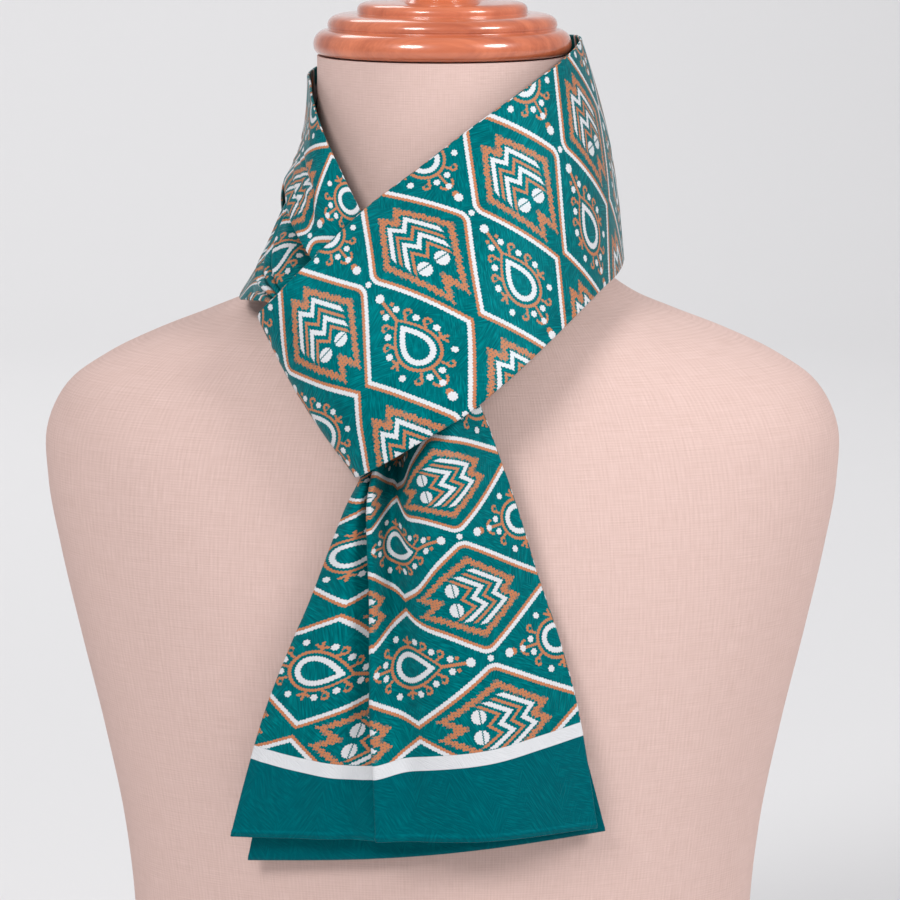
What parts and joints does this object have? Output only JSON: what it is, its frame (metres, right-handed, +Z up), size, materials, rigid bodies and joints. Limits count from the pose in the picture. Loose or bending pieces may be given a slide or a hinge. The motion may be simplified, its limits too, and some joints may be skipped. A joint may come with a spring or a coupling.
{
  "type": "silk cravat scarf on a dress form",
  "caption": "Printed silk cravat scarf tied in a loop knot round the neck of a limbless dress form, its two tails hanging down the chest.",
  "frame": {"origin": "on the surface that the form stands on, under the neck's axis", "axes": "+Z up along the neck, -Y the form's front, +X the form's left side"},
  "size_m": [0.3964, 0.2549, 0.6087],
  "materials": {
    "printed_silk": "printed silk satin",
    "form_linen": "plain linen cover",
    "turned_wood": "clear gloss lacquer"
  },
  "bodies": {
    "root": {"front_band": "printed_silk", "inner_band": "printed_silk", "nape_outer": "printed_silk", "nape_inner": "printed_silk", "left_outer": "printed_silk", "left_inner": "printed_silk", "tail_front": "printed_silk", "tail_back": "printed_silk", "form_torso": "form_linen", "form_neck_cap": "turned_wood", "form_base": "turned_wood"}
  },
  "joints": []
}
